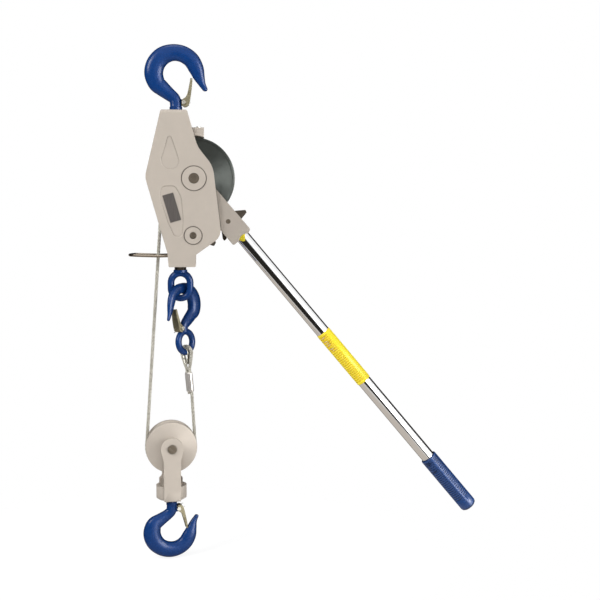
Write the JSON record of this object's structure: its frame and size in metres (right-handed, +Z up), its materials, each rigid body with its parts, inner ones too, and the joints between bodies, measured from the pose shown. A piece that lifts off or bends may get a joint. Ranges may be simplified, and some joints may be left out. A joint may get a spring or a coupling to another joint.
{
  "type": "come along winch",
  "caption": "Hand ratchet hoist for wire rope: ratchet drum in a cast frame, swinging lever handle, top hook, and a pulley block with a hook on a double line.",
  "frame": {"origin": "saddle of the top hook, where the hook bears on what it hangs from", "axes": "+X to the right of the front view, -Y towards the front plate, +Z up along the hanging hoist"},
  "size_m": [0.5952, 0.0782, 0.8705],
  "materials": {
    "cast_grey": "warm light grey casting, thin satin coat",
    "hook_blue": "gloss blue enamel on a forging",
    "dark_steel": "turned dark steel, oiled",
    "zinc": "bright zinc plate",
    "black_steel": "black oxide steel",
    "chrome": "polished chrome plate",
    "yellow": "satin yellow",
    "grip_blue": "blue dipped vinyl",
    "rope_steel": "galvanised steel wire rope",
    "bronze": "plain bronze bush",
    "sheave_grey": "zinc plated pulley"
  },
  "bodies": {
    "top_hook_body": {"top_hook": "hook_blue", "top_hook_nut": "black_steel", "top_latch_pin": "zinc", "top_latch_spring": "zinc"},
    "top_latch_body": {"top_latch": "zinc"},
    "frame": {"frame_front": "cast_grey", "frame_rear": "cast_grey", "frame_screws": "black_steel", "name_plate": "dark_steel", "drum_axle": "zinc", "axle_screws": "black_steel", "pawl_shaft": "zinc", "pawl_shaft_screws": "black_steel", "rim_guard_screw": "zinc", "holding_pawl_spring": "zinc", "strand_left": "rope_steel", "strand_right": "rope_steel"},
    "drum": {"spool": "cast_grey", "drum_bush": "bronze", "ratchet_front": "dark_steel", "ratchet_rear": "dark_steel", "disc_front": "dark_steel", "disc_rear": "dark_steel", "drum_rivets": "zinc", "rope_lower_layers": "rope_steel", "rope_winding": "rope_steel"},
    "handle": {"yoke_front": "cast_grey", "yoke_rear": "cast_grey", "tube_socket": "cast_grey", "yoke_rivets": "zinc", "handle_tube": "chrome", "root_patch": "yellow", "hold_sleeve": "yellow", "grip": "grip_blue", "drive_pawl_pin": "black_steel", "drive_pawl_spring": "zinc"},
    "drive_pawl_body": {"drive_pawl": "black_steel"},
    "holding_pawl_body": {"holding_pawl": "dark_steel", "release_bail": "zinc"},
    "ring_body": {"ring": "hook_blue", "ring_nut": "black_steel", "ring_washer": "black_steel"},
    "end_hook_body": {"end_hook": "hook_blue", "end_latch_pin": "zinc", "end_latch_spring": "zinc", "rope_eye": "rope_steel", "thimble": "zinc", "ferrule": "zinc"},
    "end_latch_body": {"end_latch": "zinc"},
    "block": {"block_yoke": "cast_grey", "sheave_pin": "black_steel", "rope_on_sheave": "rope_steel"},
    "sheave_body": {"sheave": "sheave_grey", "sheave_bush": "bronze"},
    "block_hook_body": {"block_hook": "hook_blue", "block_hook_nut": "black_steel", "block_latch_pin": "zinc", "block_latch_spring": "zinc"},
    "block_latch_body": {"block_latch": "zinc"}
  },
  "joints": [
    {"name": "top_latch_pivot", "type": "hinge", "parent": "top_hook_body", "child": "top_latch_body", "pos_m": [0.01299, 0, -0.06774], "axis": [0, 1, 0], "range_deg": [-40, 0], "stiffness_Nm_per_rad": 0.04, "springref_deg": 34.38},
    {"name": "frame_swivel", "type": "hinge", "parent": "top_hook_body", "child": "frame", "pos_m": [0, 0, -0.089], "axis": [0, 0, 1], "continuous": true},
    {"name": "handle_swing", "type": "hinge", "parent": "frame", "child": "handle", "pos_m": [0.029, 0, -0.1935], "axis": [0, 1, 0], "range_deg": [-100, 14]},
    {"name": "drum_turn", "type": "hinge", "parent": "frame", "child": "drum", "pos_m": [0.029, 0, -0.1935], "axis": [0, 1, 0], "range_deg": [-1582, 115]},
    {"name": "drive_pawl_turn", "type": "hinge", "parent": "handle", "child": "drive_pawl_body", "pos_m": [0.08481, 0, -0.26415], "axis": [0, 1, 0], "range_deg": [-6, 11]},
    {"name": "holding_pawl_turn", "type": "hinge", "parent": "frame", "child": "holding_pawl_body", "pos_m": [0.027, 0, -0.287], "axis": [0, -1, 0], "range_deg": [-6, 3]},
    {"name": "ring_swivel", "type": "hinge", "parent": "frame", "child": "ring_body", "pos_m": [0.005, 0, -0.344], "axis": [0, 0, 1], "range_deg": [-6, 6]},
    {"name": "end_hook_swing", "type": "hinge", "parent": "ring_body", "child": "end_hook_body", "pos_m": [0.005, 0, -0.39305], "axis": [0.9945, -0.1045, 0], "range_deg": [-1.5, 1.5]},
    {"name": "end_latch_pivot", "type": "hinge", "parent": "end_hook_body", "child": "end_latch_body", "pos_m": [0.00256, -0.00836, -0.44342], "axis": [0.7636, -0.6428, 0.0613], "range_deg": [-30, 0], "stiffness_Nm_per_rad": 0.04, "springref_deg": 34.38},
    {"name": "block_lift", "type": "slide", "parent": "frame", "child": "block", "axis": [0, 0, 1], "range_m": [-0.7032, 0.05073], "deforming": ["strand_left", "strand_right"]},
    {"name": "sheave_turn", "type": "hinge", "parent": "block", "child": "sheave_body", "pos_m": [-0.0137, 0, -0.646], "axis": [-0.1045, 0.9945, 0], "range_deg": [-1035, 76]},
    {"name": "block_hook_swivel", "type": "hinge", "parent": "block", "child": "block_hook_body", "pos_m": [-0.0137, 0, -0.742], "axis": [0, 0, 1], "continuous": true},
    {"name": "block_latch_pivot", "type": "hinge", "parent": "block_hook_body", "child": "block_latch_body", "pos_m": [-0.00247, 0.00239, -0.75378], "axis": [0.2079, -0.9781, 0], "range_deg": [-40, 0], "stiffness_Nm_per_rad": 0.04, "springref_deg": 34.38}
  ],
  "couplings": [
    {"joint": "drum_turn", "follows": "block_lift", "rad_per_m": 39.216},
    {"joint": "sheave_turn", "follows": "block_lift", "rad_per_m": 25.641}
  ]
}
